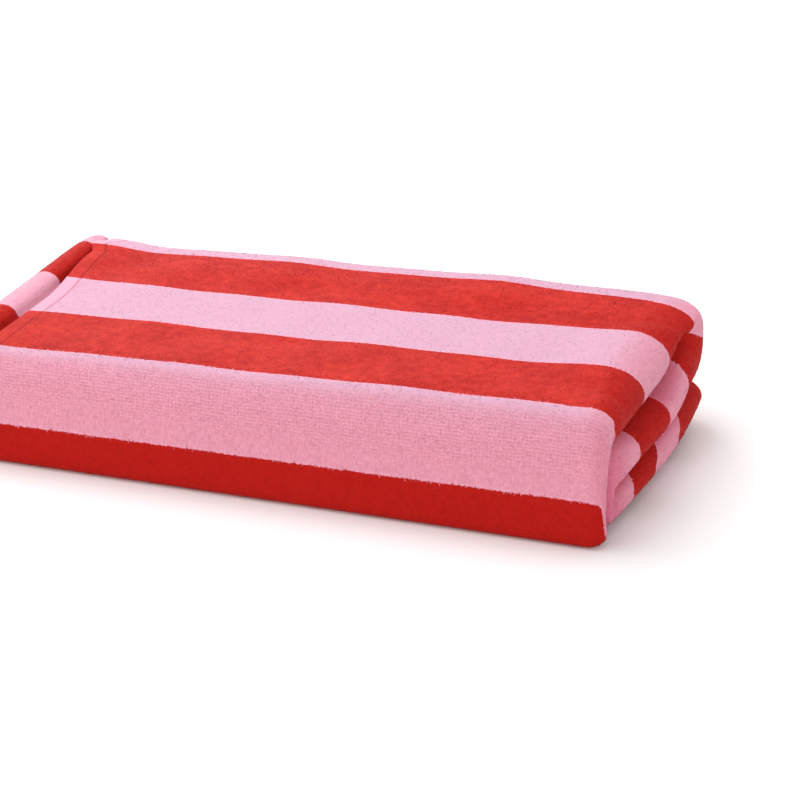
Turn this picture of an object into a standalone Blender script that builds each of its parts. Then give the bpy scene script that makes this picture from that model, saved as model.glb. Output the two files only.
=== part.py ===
"""Beach towel in wide stripes, folded to a soft packet.

One closed sheet of cloth. Along its length it is folded in four (the long section), and that
four-layer stack is then folded in four across its width (the rails), which leaves four soft
ridges one above another at the right-hand end.

Metres, +Z up. X runs along the stripes, Y from the front fold to the back, Z = 0 is the floor.
"""

import functools
import math

import bmesh
import bpy
import numpy as np

STRIPE = 0.060                # width of one woven stripe, the unit of the sizes below

CLOTH = 0.0024                # thickness of the pile cloth
AIR = 0.0010                  # air between one four-layer stack and the next
LENGTH = 7.00 * STRIPE        # packet, left bulb to right ridges
DEPTH = 3.70 * STRIPE         # packet, front fold to back crease
MIDDLE = (-0.2055, 0.1110, 0.0)   # middle of the packet, counted from its front right corner

# Heights of the packet's interfaces: at the left end, then at the right end's front, inside
# and over the centre of the back crease. The inside is at INSIDE of the way to that centre.
LEVELS = {
    "lowest": (0.25 * STRIPE, 0.19 * STRIPE, 0.19 * STRIPE, 0.19 * STRIPE),
    "middle": (0.54 * STRIPE, 0.50 * STRIPE, 0.47 * STRIPE, 0.46 * STRIPE),
    "upper": (0.84 * STRIPE, 0.92 * STRIPE, 0.80 * STRIPE, 1.06 * STRIPE),
    "top": (1.15 * STRIPE, 1.36 * STRIPE, 1.33 * STRIPE, 1.32 * STRIPE),
}
INSIDE = 0.72
RIDGE_SPREAD = 2.0 * STRIPE   # how far in from the right end the ridges' heights fade

FRONT_WRAP = 0.19 * STRIPE    # stack thickness where it wraps the front
INNER_FOLD = 0.19 * STRIPE    # reach of the inner fold in front of its centre
INNER_FRONT = FRONT_WRAP + AIR + 0.5 * CLOTH + INNER_FOLD
BACK_FOLD = 0.75 * STRIPE     # reach of the back crease behind its centre
BACK_CENTRE = DEPTH - 0.5 * CLOTH - BACK_FOLD
SELVAGE_SETBACK = 0.22 * STRIPE
FRONT_CENTRE = 0.56 * STRIPE    # height where the front fold reaches furthest
FRONT_SQUARENESS = (4.2, 12.0)  # super-ellipse power of the front fold, upper and lower half
BACK_SQUARENESS = (4.2, 2.8)
INNER_SQUARENESS = (2.4, 2.4)
ROUND = (2.0, 2.0)

SWELLS = (                    # soft rises: interface, height, centre in X and Y, spread in each
    ("top", 0.035 * STRIPE, -0.45 * STRIPE, 2.0 * STRIPE, 0.40 * STRIPE, 1.00 * STRIPE),
    ("top", 0.030 * STRIPE, -6.55 * STRIPE, 3.6 * STRIPE, 0.55 * STRIPE, 0.45 * STRIPE),
    ("middle", -0.20 * STRIPE, 0.0, 0.20 * STRIPE, 0.80 * STRIPE, 0.75 * STRIPE),
)
WAVES = (                     # soft unevenness of the top: height, length in X, in Y, phase
    (0.0007, 0.150, 0.260, 0.4),
    (0.0005, 0.067, -0.140, 2.1),
)

# Right-hand ridges, by run: reach past the right end where the run starts and where it ends,
# how much further it reaches half way, and the length of the ridge's round.
RIDGES = {
    "under": (-0.46 * STRIPE, -0.46 * STRIPE, 0.00 * STRIPE, 0.16 * STRIPE),
    "front": (-0.46 * STRIPE, 0.01 * STRIPE, -0.04 * STRIPE, 0.16 * STRIPE),
    "over": (0.01 * STRIPE, -0.03 * STRIPE, 0.00 * STRIPE, 0.38 * STRIPE),
    "back": (-0.03 * STRIPE, 0.09 * STRIPE, 0.02 * STRIPE, 0.32 * STRIPE),
    "inner_over": (0.09 * STRIPE, -0.01 * STRIPE, 0.08 * STRIPE, 0.34 * STRIPE),
    "inner_front": (-0.01 * STRIPE, -0.03 * STRIPE, 0.00 * STRIPE, 0.28 * STRIPE),
    "inner_under": (-0.03 * STRIPE, 0.04 * STRIPE, 0.14 * STRIPE, 0.28 * STRIPE),
}
CORNER_SHARE = 0.22           # share of the front run over which the wrap's end tucks under
DROOP = 0.13 * STRIPE         # how far the lowest inner ridge sags past the tucked wrap
DROOP_SPREAD = 0.22 * STRIPE
INNER_TURN = 0.40             # size of the inner turn, as a share of the ridge around it

# Left-hand bulb, where the third layer turns into the fourth beyond the two hems.
BULB = 0.38 * STRIPE          # its width
HEM_SETBACK = (0.47 * STRIPE, 0.43 * STRIPE)   # outer and second layer, from the left end
BULB_RISE = {                 # how far it stands over the outer layer, as a share of a stack
    "under": -0.12,
    "front": 0.04,
    "over": 0.17,
    "back": 0.02,
    "inner_over": -0.12,
    "inner_front": -0.12,
    "inner_under": -0.12,
}
BULB_LINE = (                 # along its width from the left, depth from crest 0 to floor 1
    (1.60, 1.00),
    (1.00, 1.00),
    (0.45, 0.97),
    (0.10, 0.76),
    (0.02, 0.42),
    (0.20, 0.10),
    (0.48, 0.00),
    (0.74, 0.12),
    (0.87, 0.40),
    (1.05, 0.62),
)

# Stations along each run of the rails.
RUNS = (                      # name, number of steps
    ("under", 6),
    ("front", 12),
    ("over", 8),
    ("back", 10),
    ("inner_over", 6),
    ("inner_front", 9),
    ("inner_under", 6),
)
LAYER_STEPS = 5               # steps along each of the four layers
OUTER_TURN_STEPS = 9
INNER_TURN_STEPS = 6
BULB_STEPS = 13

TOWEL_COLOUR = (0.72, 0.10, 0.09, 1.0)
TOWEL_ROUGHNESS = 0.95
CREASE_ANGLE = math.radians(50)


def blend(start, end, share):
    """Straight mix of two values."""
    return start + (end - start) * share


def ease(share):
    """Smooth step from 0 to 1."""
    share = min(max(share, 0.0), 1.0)
    return share * share * (3.0 - 2.0 * share)


def level(name, x, y):
    """Height of one of the packet's interfaces over the point x, y."""
    left, right_front, right_inside, right_back = LEVELS[name]
    back_share = y / BACK_CENTRE
    right = blend(right_front, right_inside, ease(back_share / INSIDE))
    right += (right_back - right_inside) * ease((back_share - INSIDE) / (1.0 - INSIDE))
    along = 1.0 + x / LENGTH
    if name == "top":
        return blend(left, right, along) + swells(name, x, y) + waves(x, y)
    near_end = ease(1.0 + x / RIDGE_SPREAD)
    share_of_height = left / LEVELS["top"][0]
    even = share_of_height * blend(LEVELS["top"][0], LEVELS["top"][1], along)
    return blend(even, right, near_end) + swells(name, x, y)


def swells(name, x, y):
    """Local rise or sag of one of the packet's interfaces."""
    total = 0.0
    for interface, height, centre_x, centre_y, spread_x, spread_y in SWELLS:
        if interface != name:
            continue
        away = ((x - centre_x) / spread_x) ** 2 + ((y - centre_y) / spread_y) ** 2
        total += height * math.exp(-away)
    return total


def waves(x, y):
    """Faint unevenness of the top."""
    total = 0.0
    for height, length_x, length_y, phase in WAVES:
        total += height * math.sin(2.0 * math.pi * (x / length_x + y / length_y) + phase)
    return total


def droop(x):
    """Sag of the lowest inner ridge near the right end."""
    return DROOP * ease(1.0 + x / DROOP_SPREAD)


def arc(centre, reach, rise, drop, angle, powers=ROUND):
    """Point of an egg-shaped turn: reach along Y, rise above and drop below its centre."""
    side = math.cos(angle)
    up = math.sin(angle)
    height, power = (rise, powers[0]) if up > 0.0 else (drop, powers[1])
    y = centre[0] + reach * math.copysign(abs(side) ** (2.0 / power), side)
    z = centre[1] + height * math.copysign(abs(up) ** (2.0 / power), up)
    return np.array((y, z))


def even_angle(share, start, end, reach, rise, drop, powers):
    """Angle at a share of a turn's length, so that its stations lie evenly along it."""
    angles = np.linspace(start, end, 121) * math.pi
    points = np.array([arc((0.0, 0.0), reach, rise, drop, angle, powers) for angle in angles])
    lengths = np.concatenate(((0.0,), np.cumsum(np.hypot(*np.diff(points, axis=0).T))))
    return float(np.interp(share * lengths[-1], lengths, angles))


@functools.lru_cache(maxsize=None)
def turn_angle(run, share):
    """Angle of a rail station on one of the three turns."""
    middle = level("middle", -0.5 * LENGTH, INNER_FRONT)
    upper = level("upper", -0.5 * LENGTH, INNER_FRONT)
    top = level("top", -0.5 * LENGTH, INNER_FRONT)
    if run == "front":
        return even_angle(share, -0.5, -1.5, INNER_FRONT, top - middle, middle, FRONT_SQUARENESS)
    if run == "back":
        return even_angle(share, 0.5, -0.5, BACK_FOLD, top - upper, upper - middle,
                          BACK_SQUARENESS)
    return even_angle(share, 0.5, 1.5, INNER_FOLD, upper - middle, upper - middle,
                      INNER_SQUARENESS)


def rail_pair(run, share, x):
    """The two rails of a stack, its outer layer's line and its inner layer's, in Y and Z."""
    half = 0.5 * CLOTH
    clear = 0.5 * (CLOTH + AIR)
    selvage = DEPTH - SELVAGE_SETBACK

    def heights(y):
        return {name: level(name, x, y) for name in LEVELS}

    if run in ("under", "inner_over", "inner_under", "over"):
        starts = {
            "under": (selvage, INNER_FRONT),
            "over": (INNER_FRONT, BACK_CENTRE),
            "inner_over": (BACK_CENTRE, INNER_FRONT),
            "inner_under": (INNER_FRONT, selvage),
        }[run]
        y = blend(starts[0], starts[1], share)
        z = heights(y)
        bounds = {
            "under": (half, z["lowest"] - clear),
            "over": (z["top"] - half, z["upper"] + clear),
            "inner_over": (z["middle"] + clear, z["upper"] - clear),
            "inner_under": (z["middle"] - clear, z["lowest"] + clear - droop(x)),
        }[run]
        return np.array((y, bounds[0])), np.array((y, bounds[1]))

    if run == "front":
        z = heights(INNER_FRONT)
        centre = (INNER_FRONT, z["middle"])
        angle = turn_angle(run, share)
        outer = arc((INNER_FRONT, FRONT_CENTRE), INNER_FRONT - half,
                    z["top"] - half - FRONT_CENTRE, FRONT_CENTRE - half, angle, FRONT_SQUARENESS)
        inner = arc(centre, INNER_FOLD + CLOTH + AIR, z["upper"] + clear - centre[1],
                    centre[1] - z["lowest"] + clear, angle, INNER_SQUARENESS)
        return outer, inner

    if run == "back":
        z = heights(BACK_CENTRE)
        centre = (BACK_CENTRE, z["upper"])
        angle = turn_angle(run, share)
        outer = arc(centre, BACK_FOLD, z["top"] - half - centre[1],
                    centre[1] - z["middle"] - clear, angle, BACK_SQUARENESS)
        inner = arc(centre, clear, clear, clear, angle)
        return outer, inner

    z = heights(INNER_FRONT)
    centre = (INNER_FRONT, z["middle"])
    angle = turn_angle(run, share)
    outer = arc(centre, clear, clear, clear, angle)
    inner = arc(centre, INNER_FOLD, z["upper"] - clear - centre[1],
                centre[1] - z["lowest"] - clear + droop(x), angle, INNER_SQUARENESS)
    return outer, inner


def rail_stations():
    """Every station along the rails as (run, share of the run)."""
    stations = []
    for run, steps in RUNS:
        stations += [(run, step / steps) for step in range(steps)]
    stations.append((RUNS[-1][0], 1.0))
    return stations


def along_runs(table, run, share):
    """Value of a run's table row, eased into its neighbours at the run's ends."""
    names = [name for name, _ in RUNS]
    place = names.index(run)
    other = place + (1 if share > 0.5 else -1)
    other = min(max(other, 0), len(names) - 1)
    mix = 0.5 * ease(abs(share - 0.5) / 0.5)
    return blend(np.array(table[run]), np.array(table[names[other]]), mix)


def smooth_line(points, share):
    """Point of a smooth curve through a short table of points."""
    spans = len(points) - 1
    place = min(int(share * spans), spans - 1)
    t = share * spans - place
    p0, p1, p2, p3 = (
        np.array(points[min(max(place + step, 0), spans)], dtype=float) for step in (-1, 0, 1, 2)
    )
    return 0.5 * (2 * p1 + (p2 - p0) * t + (2 * p0 - 5 * p1 + 4 * p2 - p3) * t ** 2
                  + (3 * p1 - p0 - 3 * p2 + p3) * t ** 3)


def ridge_reach(run, share):
    """How far past the right end the stack's ridge reaches."""
    start, end, bulge, _ = RIDGES[run]
    grown = ease(share / CORNER_SHARE) if run == "front" else share
    return blend(start, end, grown) + bulge * math.sin(math.pi * share)


def long_section(run, share):
    """Line of the cloth along X at one rail station: rows of x and depth in the stack, 0 to 1."""
    reach = ridge_reach(run, share)
    round_length = along_runs(RIDGES, run, share)[3]
    rise = float(along_runs(BULB_RISE, run, share))
    turn_centre = reach - round_length
    bulb_start = -LENGTH + BULB_LINE[0][0] * BULB
    bulb_end = -LENGTH + BULB_LINE[-1][0] * BULB
    rows = []

    def layer(x_start, x_end, depth):
        for step in range(LAYER_STEPS):
            rows.append((blend(x_start, x_end, step / LAYER_STEPS), depth))

    def turn(size, centre_depth, half_depth, steps, direction):
        for step in range(steps):
            angle = direction * math.pi * (0.5 - step / steps)
            rows.append((turn_centre + size * math.cos(angle),
                         centre_depth - half_depth * math.sin(angle)))

    layer(-LENGTH + HEM_SETBACK[0], turn_centre, 0.0)
    turn(round_length, 0.5, 0.5, OUTER_TURN_STEPS, 1)
    layer(turn_centre, bulb_start, 1.0)
    for step in range(BULB_STEPS):
        along, drop = smooth_line(BULB_LINE, step / BULB_STEPS)
        rows.append((-LENGTH + along * BULB, blend(-rise, 1.0, drop)))
    layer(bulb_end + 0.4 * BULB, turn_centre, 2.0 / 3.0)
    turn(round_length * INNER_TURN, 0.5, 1.0 / 6.0, INNER_TURN_STEPS, -1)
    layer(turn_centre, -LENGTH + HEM_SETBACK[1], 1.0 / 3.0)
    rows.append((-LENGTH + HEM_SETBACK[1], 1.0 / 3.0))
    return rows


def middle_surface():
    """Grid of points on the cloth's middle, rail stations by section stations."""
    grid = []
    for run, share in rail_stations():
        line = []
        for x, depth in long_section(run, share):
            outer, inner = rail_pair(run, share, min(x, 0.0))
            y, z = blend(outer, inner, depth)
            line.append((x, y, z))
        grid.append(line)
    return np.array(grid)


def surface_normals(grid):
    """Unit normals of the grid, towards the side that shows on top and in front."""
    along_rails = np.gradient(grid, axis=0)
    along_section = np.gradient(grid, axis=1)
    normals = np.cross(along_section, along_rails)
    return normals / np.linalg.norm(normals, axis=2, keepdims=True)


def build_sheet(grid):
    """Closed mesh of the cloth: a face on each side of its middle and a strip round its edge."""
    rows, columns, _ = grid.shape
    offset = 0.5 * CLOTH * surface_normals(grid)
    mesh = bmesh.new()
    face_side = [[mesh.verts.new(point) for point in line] for line in grid + offset]
    back_side = [[mesh.verts.new(point) for point in line] for line in grid - offset]
    for i in range(rows - 1):
        for j in range(columns - 1):
            mesh.faces.new((face_side[i][j], face_side[i + 1][j],
                            face_side[i + 1][j + 1], face_side[i][j + 1]))
            mesh.faces.new((back_side[i][j], back_side[i][j + 1],
                            back_side[i + 1][j + 1], back_side[i + 1][j]))
    rim = [(0, j) for j in range(columns - 1)]
    rim += [(i, columns - 1) for i in range(rows - 1)]
    rim += [(rows - 1, j) for j in range(columns - 1, 0, -1)]
    rim += [(i, 0) for i in range(rows - 1, 0, -1)]
    for start, end in zip(rim, rim[1:] + rim[:1]):
        mesh.faces.new((face_side[start[0]][start[1]], face_side[end[0]][end[1]],
                        back_side[end[0]][end[1]], back_side[start[0]][start[1]]))
    bmesh.ops.recalc_face_normals(mesh, faces=mesh.faces)
    return mesh


def towel_material():
    """Red pile, the commoner colour of the two at the front."""
    material = bpy.data.materials.new("pile_cloth")
    material.use_nodes = True
    shader = material.node_tree.nodes["Principled BSDF"]
    shader.inputs["Base Color"].default_value = TOWEL_COLOUR
    shader.inputs["Roughness"].default_value = TOWEL_ROUGHNESS
    shader.inputs["Metallic"].default_value = 0.0
    return material


def add_towel():
    """The folded towel, its packet centred over the origin and lying on Z = 0."""
    grid = middle_surface() - np.array(MIDDLE)
    sheet = build_sheet(grid)
    data = bpy.data.meshes.new("towel")
    sheet.to_mesh(data)
    sheet.free()
    data.materials.append(towel_material())
    data.shade_smooth()
    data.set_sharp_from_angle(angle=CREASE_ANGLE)
    towel = bpy.data.objects.new("towel", data)
    bpy.context.scene.collection.objects.link(towel)
    return towel


def clear_scene():
    """Remove whatever the file opened with."""
    for item in list(bpy.data.objects):
        bpy.data.objects.remove(item, do_unlink=True)


def main():
    clear_scene()
    add_towel()


main()
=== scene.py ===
"""Folded beach towel: the fine cloth, its woven stripes and its pile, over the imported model.

The cloth's folds are worked out in packet coordinates: X from the left bulb at -LENGTH to the
right end at 0, Y from the front fold at 0 to the back, Z up from the floor.
"""

import functools
import math

import bmesh
import bpy
import numpy as np
from mathutils import Matrix, Vector


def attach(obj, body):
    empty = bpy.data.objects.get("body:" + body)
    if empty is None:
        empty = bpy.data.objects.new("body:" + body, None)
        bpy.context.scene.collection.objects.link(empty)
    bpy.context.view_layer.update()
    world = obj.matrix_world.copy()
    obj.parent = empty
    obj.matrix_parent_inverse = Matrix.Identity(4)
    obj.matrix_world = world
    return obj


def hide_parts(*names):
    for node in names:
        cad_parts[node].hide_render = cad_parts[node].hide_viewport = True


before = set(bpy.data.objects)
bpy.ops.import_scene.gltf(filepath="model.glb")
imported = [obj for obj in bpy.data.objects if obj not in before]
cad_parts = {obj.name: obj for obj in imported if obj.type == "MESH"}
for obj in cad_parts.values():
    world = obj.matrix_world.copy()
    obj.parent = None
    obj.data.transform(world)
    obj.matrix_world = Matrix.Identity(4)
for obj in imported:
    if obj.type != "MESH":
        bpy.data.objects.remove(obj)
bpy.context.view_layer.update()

STRIPE = 0.060                # width of one woven stripe, the unit of the sizes below

CLOTH = 0.0024                # thickness of the pile cloth
AIR = 0.0010                  # air between one four-layer stack and the next
LENGTH = 7.00 * STRIPE        # packet, left bulb to right ridges
DEPTH = 3.70 * STRIPE         # packet, front fold to back crease
MIDDLE = (-0.2055, 0.1110, 0.0)   # middle of the packet, counted from its front right corner

# Heights of the packet's interfaces: at the left end, then at the right end's front, inside
# and over the centre of the back crease. The inside is at INSIDE of the way to that centre.
LEVELS = {
    "lowest": (0.25 * STRIPE, 0.19 * STRIPE, 0.19 * STRIPE, 0.19 * STRIPE),
    "middle": (0.54 * STRIPE, 0.50 * STRIPE, 0.47 * STRIPE, 0.46 * STRIPE),
    "upper": (0.84 * STRIPE, 0.92 * STRIPE, 0.80 * STRIPE, 1.06 * STRIPE),
    "top": (1.15 * STRIPE, 1.36 * STRIPE, 1.33 * STRIPE, 1.32 * STRIPE),
}
INSIDE = 0.72
TURN_SAMPLES = 121            # angles tried to space a turn's stations evenly
RIDGE_SPREAD = 2.0 * STRIPE   # how far in from the right end the ridges' heights fade

FRONT_WRAP = 0.19 * STRIPE    # stack thickness where it wraps the front
INNER_FOLD = 0.19 * STRIPE    # reach of the inner fold in front of its centre
INNER_FRONT = FRONT_WRAP + AIR + 0.5 * CLOTH + INNER_FOLD
BACK_FOLD = 0.75 * STRIPE     # reach of the back crease behind its centre
BACK_CENTRE = DEPTH - 0.5 * CLOTH - BACK_FOLD
SELVAGE_SETBACK = 0.22 * STRIPE
FRONT_CENTRE = 0.56 * STRIPE    # height where the front fold reaches furthest
FRONT_SQUARENESS = (4.2, 12.0)  # super-ellipse power of the front fold, upper and lower half
BACK_SQUARENESS = (4.2, 2.8)
INNER_SQUARENESS = (2.4, 2.4)
ROUND = (2.0, 2.0)

SWELLS = (                    # soft rises: interface, height, centre in X and Y, spread in each
    ("top", 0.035 * STRIPE, -0.45 * STRIPE, 2.0 * STRIPE, 0.40 * STRIPE, 1.00 * STRIPE),
    ("top", -0.008 * STRIPE, -6.55 * STRIPE, 3.6 * STRIPE, 0.55 * STRIPE, 0.45 * STRIPE),
    ("top", 0.032 * STRIPE, -3.20 * STRIPE, 3.0 * STRIPE, 3.60 * STRIPE, 0.45 * STRIPE),
    ("top", 0.040 * STRIPE, -4.65 * STRIPE, 3.0 * STRIPE, 0.75 * STRIPE, 0.42 * STRIPE),
    ("top", 0.055 * STRIPE, -2.20 * STRIPE, 3.0 * STRIPE, 0.80 * STRIPE, 0.42 * STRIPE),
    ("top", -0.105 * STRIPE, 0.0, 3.35 * STRIPE, 0.32 * STRIPE, 0.45 * STRIPE),
    ("middle", -0.20 * STRIPE, 0.0, 0.20 * STRIPE, 0.80 * STRIPE, 0.75 * STRIPE),
)
CREASES = (                   # soft troughs of the top: start X and Y, end X and Y, width, depth
    (0.05, 0.62, -0.80, 0.92, 0.11, 0.022),
    (0.05, 1.98, -0.62, 1.78, 0.10, 0.018),
    (0.05, 2.86, -0.70, 2.50, 0.12, 0.026),
    (-6.30, 2.70, -5.60, 2.20, 0.13, 0.014),
    (-3.90, 1.10, -2.70, 1.32, 0.16, 0.010),
)
CREASE_FADE = 0.8             # share of its depth that a crease loses towards its end
WAVES = (                     # soft unevenness of the top: height, length in X, in Y, phase
    (0.0004, 0.150, 0.260, 0.4),
    (0.0003, 0.067, -0.140, 2.1),
)

# Right-hand ridges, by run: reach past the right end where the run starts and where it ends,
# how much further it reaches half way, and the length of the ridge's round.
RIDGES = {
    "under": (-0.46 * STRIPE, -0.46 * STRIPE, 0.00 * STRIPE, 0.16 * STRIPE),
    "front": (-0.46 * STRIPE, 0.01 * STRIPE, -0.04 * STRIPE, 0.16 * STRIPE),
    "over": (0.01 * STRIPE, -0.03 * STRIPE, 0.00 * STRIPE, 0.38 * STRIPE),
    "back": (-0.03 * STRIPE, 0.09 * STRIPE, 0.02 * STRIPE, 0.32 * STRIPE),
    "inner_over": (0.09 * STRIPE, -0.01 * STRIPE, 0.08 * STRIPE, 0.34 * STRIPE),
    "inner_front": (-0.01 * STRIPE, -0.03 * STRIPE, 0.00 * STRIPE, 0.28 * STRIPE),
    "inner_under": (-0.03 * STRIPE, 0.04 * STRIPE, 0.10 * STRIPE, 0.28 * STRIPE),
}
CORNER_SHARE = 0.22           # share of the front run over which the wrap's end tucks under
DROOP = 0.13 * STRIPE         # how far the lowest inner ridge sags past the tucked wrap
DROOP_SPREAD = 0.22 * STRIPE
INNER_TURN = 0.40             # size of the inner turn, as a share of the ridge around it

# Left-hand bulb, where the third layer turns into the fourth beyond the two hems.
BULB = 0.38 * STRIPE          # its width
HEM_SETBACK = (0.47 * STRIPE, 0.43 * STRIPE)   # outer and second layer, from the left end
BULB_RISE = {                 # how far it stands over the outer layer, as a share of a stack
    "under": -0.12,
    "front": 0.04,
    "over": 0.17,
    "back": 0.17,
    "inner_over": -0.12,
    "inner_front": -0.12,
    "inner_under": -0.12,
}
THIRD_LAYER_GAP = 0.4 * BULB      # from the bulb's last point to the third layer's first station
# Towards the back the outer hem climbs on to the bulb.
HEM_CLIMB = {"under": 0.0, "front": 0.0, "over": 0.0, "back": 1.0,
             "inner_over": 0.0, "inner_front": 0.0, "inner_under": 0.0}
HEM_CLIMB_REACH = 0.19 * STRIPE   # how much nearer the left end it comes
HEM_CLIMB_RISE = 0.20             # how far it lifts, as a share of a stack
HEM_CLIMB_SPREAD = 0.55 * STRIPE
HEM_CLIMBED_BY = 0.3              # share of the back run at which it has climbed all the way
HEM_BAND = 0.0120             # width of the hems and selvages
HEM_STITCH = 0.0100           # seam, from the edge
SHARP_ANGLE = math.radians(60)    # edges of the sheet that turn more than this aren't smoothed
BULB_LINE = (                 # along its width from the left, depth from crest 0 to floor 1
    (1.60, 1.00),
    (1.00, 1.00),
    (0.45, 0.97),
    (0.10, 0.76),
    (0.02, 0.42),
    (0.20, 0.10),
    (0.48, 0.00),
    (0.74, 0.12),
    (0.87, 0.40),
    (1.05, 0.62),
)

# Where the woven stripes lie, in stripes from the middle stripe.
PLACE_AT_EDGE = 3.8           # at the top's front edge, if the top ran on flat to Y = 0
FRONT_FROM = 0.8              # Y, in stripes, from where the front is counted along the cloth
LOW_EDGE = (0.44, 0.50)       # height of the front's lowest stripe edge, left and right
LOW_EDGE_PLACE = 4.5          # and its place
FRONT_FOOT_STEPS = 4          # stations at the front's foot that lie under that edge's height
FRONT_SLIP = 0.6              # how far the innermost layer lags behind at the front's foot
FRONT_BOW = (0.06, 0.02, 0.08)   # sag of the front's upper stripe edge: left, right, at its end
FRONT_BOW_SPREAD = 0.625 * STRIPE   # how far in from the right end that last sag reaches
FRONT_BOW_SHARE = 2.0 / 3.0   # share of the way down to the lowest edge over which it sags
BACK_RATE = 1.15              # stripes for each stripe width of cloth over the back crease
BACK_LOWER_RATE = 0.62        # share of that rate below the crease's own stripe
BACK_INNER = ((0.0, 0.87), (0.2, 0.63), (0.55, 0.63), (1.0, 1.25))   # share of the run, place
# The two inner stacks: Y in stripes, place on the outermost layer, place on the innermost.
SECOND_STACK = (
    (0.00, 4.45, 4.50),
    (0.95, 3.50, 3.54),
    (1.66, 2.50, 2.80),
    (2.04, 2.13, 2.50),
    (2.56, 1.50, 1.58),
    (2.93, 1.25, 1.25),
)
THIRD_STACK = (
    (0.00, 3.40, 3.55),
    (1.08, 4.50, 4.70),
    (1.53, 5.06, 5.56),
    (1.88, 5.50, 6.05),
    (2.72, 6.50, 7.00),
    (3.48, 7.20, 7.40),
)
THIRD_SLID_BY = 0.45          # depth by which the third stack's stripes have reached the innermost
FRONT_SLID_FROM = 0.24        # depth at which the front's and the underside's start to slide
FRONT_SLID_OVER = 0.15        # and over how much of the depth they do

# Pile: short closed tufts that lean over the cloth. Each has two roots, a crown and a tip.
PILE_LENGTH = 0.0013          # of a middling tuft
PILE_LENGTHS = (0.65, 1.35)   # shortest and longest, as shares of that
PILE_WIDTH = 0.00080          # across the roots of a middling tuft
PILE_WIDTHS = (0.7, 1.3)      # narrowest and widest, as shares of that
PILE_SUNK = 0.0001            # how far the roots lie under the cloth's face
PILE_THICKNESS = 0.00010      # height of the crown over the line from roots to tip
PILE_CROWN_AT = 0.4           # share of a tuft's length to its crown
PILE_SHADE_LEAN = 0.15        # how far a tuft's shading leans back from the way it points
PILE_FROM_EDGE = 0.8 * HEM_BAND
PILE_FROM_FLOOR = 1.4 * PILE_LENGTH
PILE_LEAST_LIFT = 0.10        # rise of a tuft for its reach, at least
TUFT_FACES = ((0, 1, 2), (0, 3, 1), (1, 3, 2), (2, 3, 0))   # root end, underside, flanks
SQUARE_MM_IN_M2 = 1.0e6
BULB_PILE_SKIPS = 6           # the pile leaves out one part in so many of the bulb's line
PILE = (                      # name, tufts on a square mm, most lift, rarity of the most, seed
    ("pile_top", 0.75, 0.36, 5, 11),
    ("pile_front", 0.90, 0.55, 3, 12),
    ("pile_ridges", 0.90, 0.50, 3, 13),
    ("pile_back", 0.55, 0.55, 3, 14),
    ("pile_bulbs", 0.55, 0.55, 3, 15),
)

# What the cloth looks like. A place below is in stripes from the middle of the middle stripe.
NAP_AND_SHEEN_ON_TOP = (0.0, 0.0, 1.0)  # how clearly rows and combed streaks show, and how much painted sheen lies on the top
NAP_AND_SHEEN_ELSEWHERE = (0.25, 0.15, 0.20)
FRONT_NAP_FROM = 3.3          # place from where the front has its own nap and painted sheen
ROWS_SET_IN = (3.55, 3.75)
ROWS_FADE = (4.0, 4.45)
COMBED_SETS_IN = (3.85, 4.3)
TOP_SHEEN_FADES = (3.5, 3.9)
TOP_SHEEN_LOSS = 0.9            # how much of the top's painted sheen goes there, down the front
TURNED_STEPS = (-4, 9)        # stations from the right end's turn over which the top's painted sheen fades
TURNED_SHEEN_LOSS = 0.75
FOLD_SHADE_DEPTHS = (0.10, 0.48)    # from a stack's middle depth: where painted shade deep in a fold sets in and is full
FOLD_SHADE_ACROSS = (0.40, 0.95)    # Y, in stripes: full painted fold shade up to the first, none from the second
ROUND_FOLD_SHADE = 0.28             # painted shade already laid all round the right end's turn
ROUND_FOLD_SHADE_STEPS = (-2, 8)    # stations from the turn over which that sets in

# Colours, in linear light.
RED = (0.470, 0.0085, 0.0055, 1.0)
# painted sheen: a lighter, paler red for the top
RED_PAINTED_SHEEN = (0.720, 0.0420, 0.0260, 1.0)
RED_DEEP = (0.330, 0.0060, 0.0050, 1.0)
PINK = (0.875, 0.385, 0.485, 1.0)
# painted sheen: the top's paler, lilac pink
PINK_PAINTED_SHEEN = (0.665, 0.378, 0.500, 1.0)
# painted shade: a deeper, darker pink for the folds of the right end
PINK_FOLD_SHADE = (0.720, 0.170, 0.265, 1.0)
PINK_DEEP = (0.620, 0.150, 0.225, 1.0)
PINK_EDGE = (0.850, 0.400, 0.530, 1.0)
SHEEN_TINT = (1.0, 0.80, 0.86, 1.0)

# A grain is a noise's scale, for a metre of cloth, its detail and its roughness.
STREAK_GRAIN = (800.0, 2.0, 0.6)       # combed streaks
STREAK_STRETCH = 0.3                   # their grain across the stripes, as a share of that along them
TEETH_GRAIN = (620.0, 1.0, 0.5)        # short teeth of the stripes' edges
WANDER_GRAIN = (45.0, 1.0, 0.5)        # slow wander of those edges
BROAD_GRAIN = (32.0, 2.0, 0.5)         # patches of the nap and of the top's painted sheen, from broad to fine
PATCH_GRAIN = (150.0, 3.0, 0.55)
FINE_GRAIN = (700.0, 2.0, 0.6)
SPECK_GRAIN = (420.0, 1.0, 0.5)        # rare dark specks in the red
GRIT_GRAIN = (1150.0, 1.0, 0.5)        # speckle in the pink
ROW_JITTER_GRAIN = (160.0, 1.0, 0.5)   # unevenness of the rows, and of the knots along them
STITCH_JITTER_GRAIN = (240.0, 1.0, 0.5)
SPECK_SPAN = (0.66, 0.74)     # where in its noise each mark sets in and is full
GRIT_SPAN = (0.38, 0.62)
STREAK_SPAN = (0.35, 0.65)
NAP_SHEEN_SPAN = (0.36, 0.64)
KNOT_SPAN = (-0.65, 0.35)

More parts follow.
